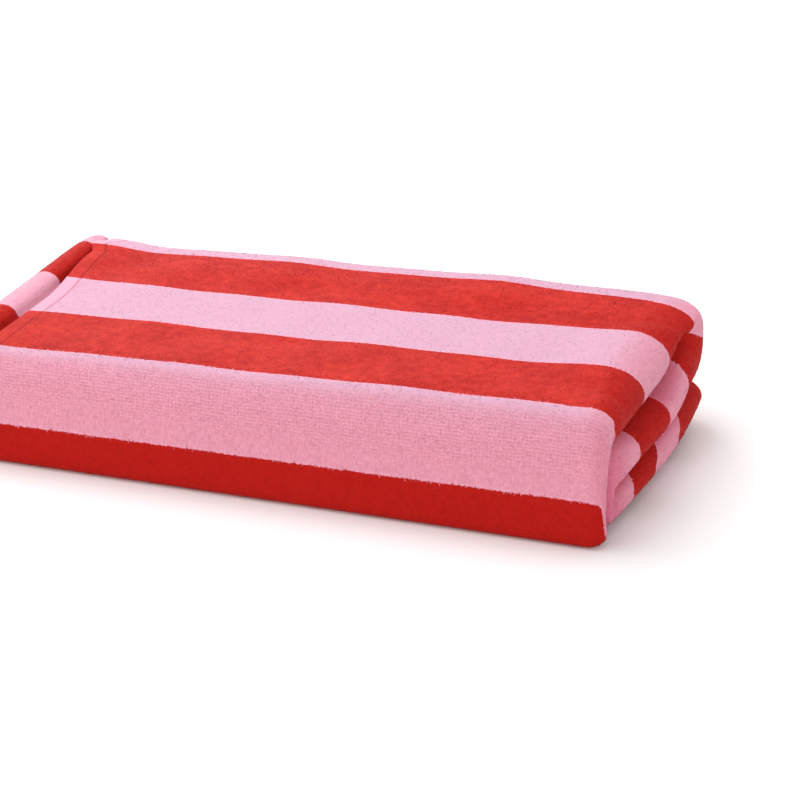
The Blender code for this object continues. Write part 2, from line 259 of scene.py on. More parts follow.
EDGE_TEETH = 0.028            # how far each mark moves a stripe's edge, in stripes
EDGE_WANDER = 0.014
EDGE_TUFTS = 0.030
EDGE_FRAY = 0.020
EDGE_SPAN = (-0.024, 0.024)   # softness of the edge, in the stripes' wave
RIM_SPAN = (0.02, 0.11)       # paler rim of the pink beside it
RIM_SHOWS = 0.5
ROW_PITCH = 0.0022            # rows of pile, across the stripes
ROW_JITTER = 1.8              # in radians of a row
ROW_HEIGHT = 0.27
STITCH_PITCH = 0.0023         # knots along a row
STITCH_JITTER = 6.0
STITCH_HEIGHT = 0.16
KNOT_ROUGHNESS = 2.4
NAP_SHEEN_BROAD = 0.25             # share of each noise in the patches of the nap and of the top's painted sheen
NAP_SHEEN_PATCHES = 0.35
NAP_SHEEN_FINE = 0.40
RED_SHEEN_LIFT = 0.70             # how much each mark shows in the red
RED_MOTTLE = 0.30
RED_SPECKS = 0.30
RED_TUFTS = 0.25
PINK_KNOTS = 0.42             # and in the pink
PINK_STREAKS = 0.22
PINK_GRIT = 0.22
PINK_MOTTLE = 0.06
PINK_TUFTS = 0.08
FOLD_SHADE_SHOWS = 0.85
SEAM_SPAN = (0.0004, 0.0013)  # half width of the hem's seam: its core and its reach
SEAM_SHOWS = 0.6
SHEET_TONE = 0.5              # tone of the cloth between the tufts' own, 0 to 1
BUMPS = {"streaks": 0.4, "fine": 0.20, "patches": 0.20, "seam": -1.2}
BUMP_STRENGTH = 0.40
BUMP_HEIGHT = 0.0007
GLOSS = {"Roughness": 0.75, "Specular IOR Level": 0.08, "Sheen Weight": 0.03, "Sheen Roughness": 0.40}

ROOM_LIGHT = 0.83
FLOOR_HALF = 4.0
FLOOR_GREY = (0.96, 0.96, 0.96, 1.0)
FLOOR_GLOSS = {"Roughness": 0.8, "Specular IOR Level": 0.1}
LAMPS = (                     # name, place, diameter, watts
    ("lamp_above", (-0.50, 0.10, 1.45), 1.5, 12.0),
    ("lamp_front", (-0.70, -1.80, 0.70), 1.2, 4.0),
    ("lamp_behind", (-1.05, 1.45, 0.75), 1.0, 12.0),
)
AZIMUTH = 0.3408382           # camera, round from the front towards the right, in radians
ELEVATION = 0.39195028        # and up from the floor
DISTANCE = 30.60494014 * STRIPE
LOOK_AT = (-2.73141586 * STRIPE - MIDDLE[0], 2.0 * STRIPE - MIDDLE[1], 0.3736983 * STRIPE)
LENS = 135.0                  # focal length and width of the sensor, in millimetres
SENSOR = 36.0
LENS_SHIFT = 3.0 / 800.0      # the photo's middle lies 3 of its 800 pixels off the lens's axis
FAR = 20.0

# Stations along each run of the rails, and along the section. The outer layer is the finest.
RUNS = (                      # name, number of steps
    ("under", 10),
    ("front", 46),
    ("over", 46),
    ("back", 40),
    ("inner_over", 22),
    ("inner_front", 28),
    ("inner_under", 22),
)
OUTER_LAYER_STEPS = 62
OUTER_CROWDING = 1.3          # power that crowds its stations towards the hem
LAYER_STEPS = 8
OUTER_TURN_STEPS = 30
INNER_TURN_STEPS = 8
BULB_STEPS = 34


def blend(start, end, share):
    """Straight mix of two values."""
    return start + (end - start) * share


def ease(share):
    """Smooth step from 0 to 1."""
    share = min(max(share, 0.0), 1.0)
    return share * share * (3.0 - 2.0 * share)


def level(name, x, y):
    """Height of one of the packet's interfaces over the point x, y."""
    left, right_front, right_inside, right_back = LEVELS[name]
    back_share = y / BACK_CENTRE
    right = blend(right_front, right_inside, ease(back_share / INSIDE))
    right += (right_back - right_inside) * ease((back_share - INSIDE) / (1.0 - INSIDE))
    along = 1.0 + x / LENGTH
    if name == "top":
        return blend(left, right, along) + swells(name, x, y) + waves(x, y) - creases(x, y)
    near_end = ease(1.0 + x / RIDGE_SPREAD)
    share_of_height = left / LEVELS["top"][0]
    even = share_of_height * blend(LEVELS["top"][0], LEVELS["top"][1], along)
    return blend(even, right, near_end) + swells(name, x, y)


def swells(name, x, y):
    """Local rise or sag of one of the packet's interfaces."""
    total = 0.0
    for interface, height, centre_x, centre_y, spread_x, spread_y in SWELLS:
        if interface != name:
            continue
        away = ((x - centre_x) / spread_x) ** 2 + ((y - centre_y) / spread_y) ** 2
        total += height * math.exp(-away)
    return total


def waves(x, y):
    """Faint unevenness of the top."""
    total = 0.0
    for height, length_x, length_y, phase in WAVES:
        total += height * math.sin(2.0 * math.pi * (x / length_x + y / length_y) + phase)
    return total


def creases(x, y):
    """Depth of the soft troughs of the top."""
    total = 0.0
    for start_x, start_y, end_x, end_y, width, depth in CREASES:
        run_x = end_x - start_x
        run_y = end_y - start_y
        off_x = x / STRIPE - start_x
        off_y = y / STRIPE - start_y
        share = (off_x * run_x + off_y * run_y) / (run_x * run_x + run_y * run_y)
        share = min(max(share, 0.0), 1.0)
        away = math.hypot(off_x - share * run_x, off_y - share * run_y) / width
        total += depth * (1.0 - CREASE_FADE * share) * math.exp(-away * away)
    return total * STRIPE


def droop(x):
    """Sag of the lowest inner ridge near the right end."""
    return DROOP * ease(1.0 + x / DROOP_SPREAD)


def arc(centre, reach, rise, drop, angle, powers=ROUND):
    """Point of an egg-shaped turn: reach along Y, rise above and drop below its centre."""
    side = math.cos(angle)
    up = math.sin(angle)
    height, power = (rise, powers[0]) if up > 0.0 else (drop, powers[1])
    y = centre[0] + reach * math.copysign(abs(side) ** (2.0 / power), side)
    z = centre[1] + height * math.copysign(abs(up) ** (2.0 / power), up)
    return np.array((y, z))


def even_angle(share, start, end, reach, rise, drop, powers):
    """Angle at a share of a turn's length, so that its stations lie evenly along it."""
    angles = np.linspace(start, end, TURN_SAMPLES) * math.pi
    points = np.array([arc((0.0, 0.0), reach, rise, drop, angle, powers) for angle in angles])
    lengths = np.concatenate(((0.0,), np.cumsum(np.hypot(*np.diff(points, axis=0).T))))
    return float(np.interp(share * lengths[-1], lengths, angles))


@functools.lru_cache(maxsize=None)
def turn_angle(run, share):
    """Angle of a rail station on one of the three turns."""
    middle = level("middle", -0.5 * LENGTH, INNER_FRONT)
    upper = level("upper", -0.5 * LENGTH, INNER_FRONT)
    top = level("top", -0.5 * LENGTH, INNER_FRONT)
    if run == "front":
        return even_angle(share, -0.5, -1.5, INNER_FRONT, top - middle, middle, FRONT_SQUARENESS)
    if run == "back":
        return even_angle(share, 0.5, -0.5, BACK_FOLD, top - upper, upper - middle,
                          BACK_SQUARENESS)
    return even_angle(share, 0.5, 1.5, INNER_FOLD, upper - middle, upper - middle,
                      INNER_SQUARENESS)


def rail_pair(run, share, x):
    """The two rails of a stack, its outer layer's line and its inner layer's, in Y and Z."""
    half = 0.5 * CLOTH
    clear = 0.5 * (CLOTH + AIR)
    selvage = DEPTH - SELVAGE_SETBACK

    def heights(y):
        return {name: level(name, x, y) for name in LEVELS}

    if run in ("under", "inner_over", "inner_under", "over"):
        starts = {
            "under": (selvage, INNER_FRONT),
            "over": (INNER_FRONT, BACK_CENTRE),
            "inner_over": (BACK_CENTRE, INNER_FRONT),
            "inner_under": (INNER_FRONT, selvage),
        }[run]
        y = blend(starts[0], starts[1], share)
        z = heights(y)
        bounds = {
            "under": (half, z["lowest"] - clear),
            "over": (z["top"] - half, z["upper"] + clear),
            "inner_over": (z["middle"] + clear, z["upper"] - clear),
            "inner_under": (z["middle"] - clear, z["lowest"] + clear - droop(x)),
        }[run]
        return np.array((y, bounds[0])), np.array((y, bounds[1]))

    if run == "front":
        z = heights(INNER_FRONT)
        centre = (INNER_FRONT, z["middle"])
        angle = turn_angle(run, share)
        outer = arc((INNER_FRONT, FRONT_CENTRE), INNER_FRONT - half,
                    z["top"] - half - FRONT_CENTRE, FRONT_CENTRE - half, angle, FRONT_SQUARENESS)
        inner = arc(centre, INNER_FOLD + CLOTH + AIR, z["upper"] + clear - centre[1],
                    centre[1] - z["lowest"] + clear, angle, INNER_SQUARENESS)
        return outer, inner

    if run == "back":
        z = heights(BACK_CENTRE)
        centre = (BACK_CENTRE, z["upper"])
        angle = turn_angle(run, share)
        outer = arc(centre, BACK_FOLD, z["top"] - half - centre[1],
                    centre[1] - z["middle"] - clear, angle, BACK_SQUARENESS)
        inner = arc(centre, clear, clear, clear, angle)
        return outer, inner

    z = heights(INNER_FRONT)
    centre = (INNER_FRONT, z["middle"])
    angle = turn_angle(run, share)
    outer = arc(centre, clear, clear, clear, angle)
    inner = arc(centre, INNER_FOLD, z["upper"] - clear - centre[1],
                centre[1] - z["lowest"] - clear + droop(x), angle, INNER_SQUARENESS)
    return outer, inner


def rail_stations():
    """Every station along the rails as (run, share of the run)."""
    stations = []
    for run, steps in RUNS:
        stations += [(run, step / steps) for step in range(steps)]
    stations.append((RUNS[-1][0], 1.0))
    return stations


def along_runs(table, run, share):
    """Value of a run's table row, eased into its neighbours at the run's ends."""
    names = [name for name, _ in RUNS]
    place = names.index(run)
    other = place + (1 if share > 0.5 else -1)
    other = min(max(other, 0), len(names) - 1)
    mix = 0.5 * ease(abs(share - 0.5) / 0.5)
    return blend(np.array(table[run]), np.array(table[names[other]]), mix)


def smooth_line(points, share):
    """Point of a smooth curve through a short table of points."""
    spans = len(points) - 1
    place = min(int(share * spans), spans - 1)
    t = share * spans - place
    p0, p1, p2, p3 = (
        np.array(points[min(max(place + step, 0), spans)], dtype=float) for step in (-1, 0, 1, 2)
    )
    return 0.5 * (2 * p1 + (p2 - p0) * t + (2 * p0 - 5 * p1 + 4 * p2 - p3) * t ** 2
                  + (3 * p1 - p0 - 3 * p2 + p3) * t ** 3)


def ridge_reach(run, share):
    """How far past the right end the stack's ridge reaches."""
    start, end, bulge, _ = RIDGES[run]
    grown = ease(share / CORNER_SHARE) if run == "front" else share
    return blend(start, end, grown) + bulge * math.sin(math.pi * share)


def long_section(run, share):
    """Line of the cloth along X at one rail station: rows of x and depth in the stack, 0 to 1."""
    reach = ridge_reach(run, share)
    round_length = along_runs(RIDGES, run, share)[3]
    rise = float(along_runs(BULB_RISE, run, share))
    turn_centre = reach - round_length
    bulb_start = -LENGTH + BULB_LINE[0][0] * BULB
    bulb_end = -LENGTH + BULB_LINE[-1][0] * BULB
    second = 1.0 / 3.0            # depths of the two middle layers
    third = 2.0 / 3.0
    rows = []

    def layer(x_start, x_end, depth):
        for step in range(LAYER_STEPS):
            rows.append((blend(x_start, x_end, step / LAYER_STEPS), depth))

    def turn(size, centre_depth, half_depth, steps, direction):
        for step in range(steps):
            angle = direction * math.pi * (0.5 - step / steps)
            rows.append((turn_centre + size * math.cos(angle),
                         centre_depth - half_depth * math.sin(angle)))

    hem = -LENGTH + HEM_SETBACK[0]
    climbed = ease(share / HEM_CLIMBED_BY) if run == "back" else share
    climb = float(along_runs(HEM_CLIMB, run, climbed))
    for step in range(OUTER_LAYER_STEPS):
        x = blend(hem, turn_centre, (step / OUTER_LAYER_STEPS) ** OUTER_CROWDING)
        near_hem = 1.0 - ease((x - hem) / HEM_CLIMB_SPREAD)
        rows.append((x - climb * HEM_CLIMB_REACH * near_hem, -climb * HEM_CLIMB_RISE * near_hem))
    turn(round_length, 0.5, 0.5, OUTER_TURN_STEPS, 1)
    layer(turn_centre, bulb_start, 1.0)
    for step in range(BULB_STEPS):
        along, drop = smooth_line(BULB_LINE, step / BULB_STEPS)
        rows.append((-LENGTH + along * BULB, blend(-rise, 1.0, drop)))
    layer(bulb_end + THIRD_LAYER_GAP, turn_centre, third)
    turn(round_length * INNER_TURN, 0.5, 0.5 * (third - second), INNER_TURN_STEPS, -1)
    layer(turn_centre, -LENGTH + HEM_SETBACK[1], second)
    rows.append((-LENGTH + HEM_SETBACK[1], second))
    return rows


def middle_surface():
    """Points of the cloth's middle and their depths, rail stations by section stations."""
    grid = []
    depths = []
    for run, share in rail_stations():
        line = []
        rows = long_section(run, share)
        for x, depth in rows:
            outer, inner = rail_pair(run, share, min(x, 0.0))
            y, z = blend(outer, inner, depth)
            line.append((x, y, z))
        grid.append(line)
        depths.append([depth for _, depth in rows])
    return np.array(grid), np.array(depths)


def surface_normals(grid):
    """Unit normals of the grid, towards the side that shows on top and in front."""
    along_rails = np.gradient(grid, axis=0)
    along_section = np.gradient(grid, axis=1)
    normals = np.cross(along_section, along_rails)
    return normals / np.linalg.norm(normals, axis=2, keepdims=True)


def lengths_along(points):
    """Distance along a line of points, from its first."""
    return np.concatenate(((0.0,), np.cumsum(np.linalg.norm(np.diff(points, axis=0), axis=1))))


def in_table(table, value):
    """Row of a short table at a value, as an array without its first column."""
    columns = np.array(table).T
    return np.array([np.interp(value, columns[0], column) for column in columns[1:]])


def front_places(line, first):
    """Places on the outermost layer from the top down the front, at the stations of one line."""
    over = first["over"]
    back = first["back"]
    height = line[:, 2] / STRIPE
    length = lengths_along(line) / STRIPE
    along = 1.0 + line[over, 0] / LENGTH
    start = np.interp(FRONT_FROM, line[over:back, 1] / STRIPE, length[over:back])
    falling = slice(first["front"] + FRONT_FOOT_STEPS, over)
    at_low = np.interp(blend(LOW_EDGE[0], LOW_EDGE[1], along), height[falling], length[falling])
    down = (start - length) / (start - at_low)
    bow = blend(FRONT_BOW[0], FRONT_BOW[1], along)
    bow += FRONT_BOW[2] * ease(1.0 + line[over, 0] / FRONT_BOW_SPREAD)
    sag = bow * np.sin(math.pi * np.clip(down / FRONT_BOW_SHARE, 0.0, 1.0)) ** 2
    start_place = PLACE_AT_EDGE - FRONT_FROM
    return blend(start_place, LOW_EDGE_PLACE, down) - sag


def back_places(line, first):
    """Places on the outermost layer round the back crease, counted away from its own stripe."""
    length = lengths_along(line) / STRIPE
    place = BACK_RATE * (length - length[first["back"]])
    place -= PLACE_AT_EDGE - BACK_CENTRE / STRIPE
    below = np.maximum(place - 0.5, 0.0)      # past that stripe's lower edge
    return np.abs(place) - (1.0 - BACK_LOWER_RATE) * below


def stack_places(run, share, across, front, round_back):
    """Place on the outermost and on the innermost layer of a stack at one rail station."""
    if run == "under":
        return front, front - FRONT_SLIP
    if run == "front":
        return front, front - FRONT_SLIP * (1.0 - share)
    if run == "over":
        on_top = PLACE_AT_EDGE - across
        return (on_top if across > FRONT_FROM else front), on_top
    if run == "back":
        return round_back, in_table(BACK_INNER, share)[0]
    if run == "inner_over":
        return in_table(SECOND_STACK, across)
    if run == "inner_front":
        edge = INNER_FRONT / STRIPE
        return blend(in_table(SECOND_STACK, edge), in_table(THIRD_STACK, edge), share)
    return in_table(THIRD_STACK, across)


def stripe_places(grid, depths):
    """Place across the woven stripes at every grid point, in stripes from the middle one.

    The layers have slid past each other round the folds, so the outermost and innermost layer
    of a stack differ, and the layers between them lie between their places.
    """
    stations = rail_stations()
    names = [run for run, _ in stations]
    first = {run: names.index(run) for run in set(names)}
    outer = np.zeros(depths.shape)
    inner = np.zeros(depths.shape)
    for j in range(depths.shape[1]):
        line = grid[:, min(j, OUTER_LAYER_STEPS - 1)]
        front = front_places(line, first)
        round_back = back_places(line, first)
        for i, (run, share) in enumerate(stations):
            across = line[i, 1] / STRIPE
            outer[i, j], inner[i, j] = stack_places(run, share, across, front[i], round_back[i])
    mixed = np.clip(depths, 0.0, 1.0)
    lowest = np.isin(names, "inner_under")
    mixed[lowest] = np.clip(mixed[lowest] / THIRD_SLID_BY, 0.0, 1.0)
    around = np.isin(names, ("under", "front"))
    mixed[around] = np.clip((mixed[around] - FRONT_SLID_FROM) / FRONT_SLID_OVER, 0.0, 1.0)
    return blend(outer, inner, mixed)


def section_lengths(grid):
    """Distance along the section at every grid point, from the outer hem, in metres."""
    steps = np.linalg.norm(np.diff(grid, axis=1), axis=2)
    return np.concatenate((np.zeros((grid.shape[0], 1)), np.cumsum(steps, axis=1)), axis=1)


def edge_distances(grid, along):
    """Distance from the nearest hem or selvage at every grid point, in metres."""
    steps = np.linalg.norm(np.diff(grid, axis=0), axis=2)
    across = np.concatenate((np.zeros((1, grid.shape[1])), np.cumsum(steps, axis=0)))
    return np.minimum.reduce((along, along[:, -1:] - along, across, across[-1:] - across))


def smooth_step(values, low, high):
    """Smooth 0 to 1 over a span, for whole arrays."""
    share = np.clip((values - low) / (high - low), 0.0, 1.0)
    return share * share * (3.0 - 2.0 * share)


def fold_shade_values(names, across, depths):
    """Painted shade at each grid point, 0 to 1: how deep in a fold of the right end it lies, and all
    round the right end's turn.
    """
    fold_shade = smooth_step(np.abs(depths - 0.5), *FOLD_SHADE_DEPTHS)
    fold_shade = np.maximum(fold_shade, 1.0 - smooth_step(across / STRIPE, *FOLD_SHADE_ACROSS))
    outside = np.isin(names, ("under", "front", "over", "back"))[:, None] & (depths < 0.5)
    fold_shade[outside] = 0.0
    turn_start = OUTER_LAYER_STEPS
    turn_end = turn_start + OUTER_TURN_STEPS
    fold_shade[:, :turn_start] = 0.0
    fold_shade[:, turn_end:] = 0.0
    columns = np.arange(depths.shape[1])
    sets_in = (turn_start + step for step in ROUND_FOLD_SHADE_STEPS)
    rounding = ROUND_FOLD_SHADE * smooth_step(columns, *sets_in)
    rounding[turn_end:] = 0.0
    return np.maximum(fold_shade, rounding)


def nap_and_sheen_values(names, place):
    """How clearly the rows and the combed streaks show, and how much of the top's painted sheen lies
    there, 0 to 1 each.
    """
    nap_and_sheen = np.empty(place.shape + (3,))
    nap_and_sheen[:] = NAP_AND_SHEEN_ELSEWHERE
    nap_and_sheen[np.isin(names, ("over", "back"))] = NAP_AND_SHEEN_ON_TOP
    front = np.isin(names, ("over", "front"))[:, None] & (place > FRONT_NAP_FROM)
    front[:, OUTER_LAYER_STEPS + OUTER_TURN_STEPS // 2:] = False
    rows = smooth_step(place, *ROWS_SET_IN) - smooth_step(place, *ROWS_FADE)
    combed = smooth_step(place, *COMBED_SETS_IN)
    # painted sheen of the top fades down the front
    top_sheen = 1.0 - TOP_SHEEN_LOSS * smooth_step(place, *TOP_SHEEN_FADES)
    nap_and_sheen = np.where(front[:, :, None], np.stack((rows, combed, top_sheen), axis=-1), nap_and_sheen)
    # and fades where the cloth turns down at the right end
    fades = (OUTER_LAYER_STEPS + step for step in TURNED_STEPS)
    nap_and_sheen[:, :, 2] *= 1.0 - TURNED_SHEEN_LOSS * smooth_step(np.arange(place.shape[1]), *fades)
    return nap_and_sheen


def set_cloth_values(mesh, cloth, tone):
    """Give each point of a mesh the values that the material reads, and its tuft's tone."""
    place = np.stack((cloth["along"], cloth["place"], tone), axis=-1)
    for name, values in (("cloth", place), ("nap_and_sheen", cloth["nap_and_sheen"])):
        made = mesh.attributes.new(name, "FLOAT_VECTOR", "POINT")
        made.data.foreach_set("vector", values.astype(np.float32).ravel())
    for name in ("edge", "fold_shade"):
        made = mesh.attributes.new(name, "FLOAT", "POINT")
        made.data.foreach_set("value", cloth[name].astype(np.float32).ravel())


def build_sheet(name, grid, offset, cloth):
    """Closed mesh of the cloth: a face on each side of its middle and a strip round its edge."""
    rows, columns, _ = grid.shape
    count = rows * columns
    index = np.arange(count).reshape(rows, columns)
    a = index[:-1, :-1].ravel()
    b = index[1:, :-1].ravel()
    c = index[1:, 1:].ravel()
    d = index[:-1, 1:].ravel()
    upper = np.stack((a, d, c, b), axis=1)
    lower = np.stack((a, b, c, d), axis=1) + count
    rim = np.concatenate((index[0, :-1], index[:-1, -1], index[-1, :0:-1], index[:0:-1, 0]))
    after = np.roll(rim, -1)
    strip = np.stack((rim, after, after + count, rim + count), axis=1)
    points = np.concatenate(((grid + offset).reshape(-1, 3), (grid - offset).reshape(-1, 3)))
    mesh = bpy.data.meshes.new(name)
    mesh.from_pydata(points.tolist(), [], np.concatenate((upper, lower, strip)).tolist())
    shaper = bmesh.new()
    shaper.from_mesh(mesh)
    bmesh.ops.recalc_face_normals(shaper, faces=shaper.faces)
    shaper.to_mesh(mesh)
    shaper.free()
    both_sides = {key: np.concatenate((values, values)).reshape((2 * count,) + values.shape[2:])
                  for key, values in cloth.items()}
    set_cloth_values(mesh, both_sides, np.full(2 * count, SHEET_TONE))
    mesh.shade_smooth()
    mesh.set_sharp_from_angle(angle=SHARP_ANGLE)
    return mesh


def unit(vectors):
    """Vectors of length 1, row by row."""
    return vectors / np.linalg.norm(vectors, axis=1, keepdims=True)


def pile_mesh(name, grid, normals, cloth, growing, density, most_lift, rarity, seed):
    """Short closed tufts of four faces, leaning every way over the growing squares of the grid."""
    source = np.random.RandomState(seed)
    clear = (cloth["edge"] > PILE_FROM_EDGE) & (grid[:, :, 2] > PILE_FROM_FLOOR)
    rows, columns = np.nonzero(growing & clear[:-1, :-1])
    corner = grid[rows, columns]
    across = grid[rows + 1, columns] - corner
    onward = grid[rows, columns + 1] - corner
    areas = np.linalg.norm(np.cross(across, onward), axis=1)
    count = int(areas.sum() * SQUARE_MM_IN_M2 * density)
    picked = source.choice(len(areas), size=count, p=areas / areas.sum())
    s = source.rand(count)
    t = source.rand(count)
    i = rows[picked]
    j = columns[picked]

    def mixed(values):
        shape = (count,) + (1,) * (values.ndim - 2)
        p = s.reshape(shape)
        q = t.reshape(shape)
        return ((1 - p) * (1 - q) * values[i, j] + p * (1 - q) * values[i + 1, j]
                + (1 - p) * q * values[i, j + 1] + p * q * values[i + 1, j + 1])

    normal = unit(mixed(normals))
    side = source.normal(size=(count, 3))
    side = unit(side - normal * np.sum(side * normal, axis=1, keepdims=True))
    lying = np.cross(normal, side)
    lift = blend(PILE_LEAST_LIFT, most_lift, source.rand(count, 1) ** rarity)
    length = PILE_LENGTH * blend(*PILE_LENGTHS, source.rand(count, 1))
    half = 0.5 * PILE_WIDTH * blend(*PILE_WIDTHS, source.rand(count, 1))
    tone = source.rand(count)
    root = mixed(grid) - normal * PILE_SUNK
    tip = root + unit(lying + lift * normal) * length
    crown = blend(root, tip, PILE_CROWN_AT) + normal * PILE_THICKNESS
    corners = np.stack((root - side * half, root + side * half, crown, tip), axis=1)
    points = corners.shape[1]
    faces = np.arange(count)[:, None, None] * points + np.array(TUFT_FACES)
    mesh = bpy.data.meshes.new(name)
    mesh.from_pydata(corners.reshape(-1, 3).tolist(), [], faces.reshape(-1, 3).tolist())
    values = {key: np.repeat(mixed(table), points, axis=0) for key, table in cloth.items()}
    set_cloth_values(mesh, values, np.repeat(tone, points))
    mesh.shade_smooth()
    shown = unit(normal - PILE_SHADE_LEAN * lying)
    mesh.normals_split_custom_set_from_vertices(np.repeat(shown, points, axis=0).tolist())
    return mesh


def growing_squares(names, columns):
    """Which squares of the grid carry each patch of pile."""
    turn_start = OUTER_LAYER_STEPS
    turn_end = turn_start + OUTER_TURN_STEPS
    bulb_start = turn_end + LAYER_STEPS
    bulb_end = bulb_start + BULB_STEPS

    def squares(runs, start, end):
        across = np.zeros(columns - 1, dtype=bool)
        across[start:end] = True
        return np.isin(names[:-1], runs)[:, None] & across[None, :]

    every = [run for run, _ in RUNS]
    return {
        "pile_top": squares(["over"], 0, turn_start),
        "pile_front": squares(["front"], 0, turn_start),
        "pile_back": squares(["back"], 0, turn_start),
        "pile_ridges": squares(every, turn_start, turn_end),
        "pile_bulbs": squares(every, bulb_start + BULB_STEPS // BULB_PILE_SKIPS, bulb_end),
    }


class Shader:
    """Small helper that adds nodes and joins them in one line each."""

    def __init__(self, name):
        self.material = bpy.data.materials.new(name)
        self.material.use_nodes = True
        self.tree = self.material.node_tree
        self.surface = self.tree.nodes["Principled BSDF"]

    def put(self, socket, value):
        if isinstance(value, bpy.types.NodeSocket):
            self.tree.links.new(value, socket)
        else:
            socket.default_value = value

    def math(self, operation, first, second=0.0, third=0.0, clamp=False):
        made = self.tree.nodes.new("ShaderNodeMath")
        made.operation = operation
        made.use_clamp = clamp
        for socket, value in zip(made.inputs, (first, second, third)):
            self.put(socket, value)
        return made.outputs[0]

    def vector(self, name):
        values = self.tree.nodes.new("ShaderNodeAttribute")
        values.attribute_type = "GEOMETRY"
        values.attribute_name = name
        parts = self.tree.nodes.new("ShaderNodeSeparateXYZ")
        self.put(parts.inputs[0], values.outputs["Vector"])
        return parts.outputs

    def value(self, name):
        made = self.tree.nodes.new("ShaderNodeAttribute")
        made.attribute_type = "GEOMETRY"
        made.attribute_name = name
        return made.outputs["Fac"]

    def times(self, first, second):
        return self.math("MULTIPLY", first, second)

    def more(self, base, value, share, clamp=False):
        return self.math("MULTIPLY_ADD", value, share, base, clamp)

    def rest(self, value):
        return self.math("SUBTRACT", 1.0, value)

    def centred(self, value):
        return self.math("SUBTRACT", value, 0.5)

    def join(self, first, second):
        made = self.tree.nodes.new("ShaderNodeCombineXYZ")
        self.put(made.inputs[0], first)
        self.put(made.inputs[1], second)
        return made.outputs[0]

    def noise(self, vector, scale, detail, roughness):
        made = self.tree.nodes.new("ShaderNodeTexNoise")
        self.put(made.inputs["Vector"], vector)
        made.inputs["Scale"].default_value = scale
        made.inputs["Detail"].default_value = detail
        made.inputs["Roughness"].default_value = roughness
        return made.outputs["Fac"]

    def mix(self, factor, first, second):
        made = self.tree.nodes.new("ShaderNodeMix")
        made.data_type = "RGBA"
        self.put(made.inputs["Factor"], factor)
        colours = [socket for socket in made.inputs if socket.type == "RGBA"]
        self.put(colours[0], first)
        self.put(colours[1], second)
        return [socket for socket in made.outputs if socket.type == "RGBA"][0]

    def spread(self, value, low, high, to_low=0.0, to_high=1.0):
        made = self.tree.nodes.new("ShaderNodeMapRange")
        made.interpolation_type = "SMOOTHSTEP"
        self.put(made.inputs["Value"], value)
        made.inputs["From Min"].default_value = low
        made.inputs["From Max"].default_value = high
        made.inputs["To Min"].default_value = to_low
        made.inputs["To Max"].default_value = to_high
        return made.outputs["Result"]


def stripe_wave(shader, flat, place, tone, streaks, combed):
    """Cosine of the woven stripes: below 0 in a red one, above 0 in a pink one, ragged between."""
    teeth = shader.centred(shader.noise(flat, *TEETH_GRAIN))
    wander = shader.centred(shader.noise(flat, *WANDER_GRAIN))
    fray = shader.times(shader.centred(streaks), combed)
    shifted = shader.more(place, teeth, EDGE_TEETH)
    shifted = shader.more(shifted, wander, EDGE_WANDER)
    shifted = shader.more(shifted, shader.centred(tone), EDGE_TUFTS)
    shifted = shader.more(shifted, fray, EDGE_FRAY)
    return shader.math("COSINE", shader.times(shifted, math.pi))


def knot_rows(shader, flat, along, across, fine):
    """Rows of knots, 0 between the knots and 1 on them."""
    row = shader.times(across, 2.0 * math.pi / ROW_PITCH)
    row = shader.more(row, shader.noise(flat, *ROW_JITTER_GRAIN), ROW_JITTER)
    stitch = shader.times(along, 2.0 * math.pi / STITCH_PITCH)
    stitch = shader.more(stitch, shader.noise(flat, *STITCH_JITTER_GRAIN), STITCH_JITTER)
    knots = shader.times(shader.math("SINE", stitch), STITCH_HEIGHT)
    knots = shader.more(knots, shader.math("SINE", row), ROW_HEIGHT)
    knots = shader.more(knots, shader.centred(fine), KNOT_ROUGHNESS)
    return shader.spread(knots, *KNOT_SPAN)


def red_pile(shader, flat, tone, nap_and_sheen_patches, even, top_sheen):
    """Colour of the red stripes, with painted sheen on the top: lighter, paler patches and darker
    ones between.
    """
    specks = shader.spread(shader.noise(flat, *SPECK_GRAIN), *SPECK_SPAN)
    # painted sheen on the top: darker patches here and lighter, paler ones below, both only where the
    # top's sheen lies
    shade = shader.times(shader.times(even, top_sheen), RED_MOTTLE)
    shade = shader.more(shade, specks, RED_SPECKS)
    shade = shader.more(shade, shader.centred(tone), -RED_TUFTS, True)
    sheen_lift = shader.times(shader.times(nap_and_sheen_patches, top_sheen), RED_SHEEN_LIFT)
    return shader.mix(shade, shader.mix(sheen_lift, RED, RED_PAINTED_SHEEN), RED_DEEP)


def pink_pile(shader, flat, tone, even, nap_and_sheen, knots, grain, fold_shade, wave):
    """Colour of the pink stripes, with the top's painted sheen and painted shade in the folds."""
    rows, combed, top_sheen = nap_and_sheen
    grit = shader.spread(shader.noise(flat, *GRIT_GRAIN), *GRIT_SPAN)
    speckled = shader.times(shader.math("MAXIMUM", rows, combed), grit)
    shade = shader.times(shader.times(shader.rest(knots), rows), PINK_KNOTS)
    shade = shader.more(shade, grain, PINK_STREAKS)
    shade = shader.more(shade, speckled, PINK_GRIT)
    shade = shader.more(shade, even, PINK_MOTTLE)
    shade = shader.more(shade, shader.centred(tone), -PINK_TUFTS, True)
    # painted sheen: where the cloth faces up, the pink is mixed to the top's paler lilac
    pinks = shader.mix(top_sheen, PINK, PINK_PAINTED_SHEEN)
    # painted shade: the pink goes deeper and darker in the folds of the right end
    pinks = shader.mix(shader.times(fold_shade, FOLD_SHADE_SHOWS), pinks, PINK_FOLD_SHADE)
    pinks = shader.mix(shade, pinks, PINK_DEEP)
    rim = shader.rest(shader.spread(wave, *RIM_SPAN))
    return shader.mix(shader.times(rim, RIM_SHOWS), pinks, PINK_EDGE)


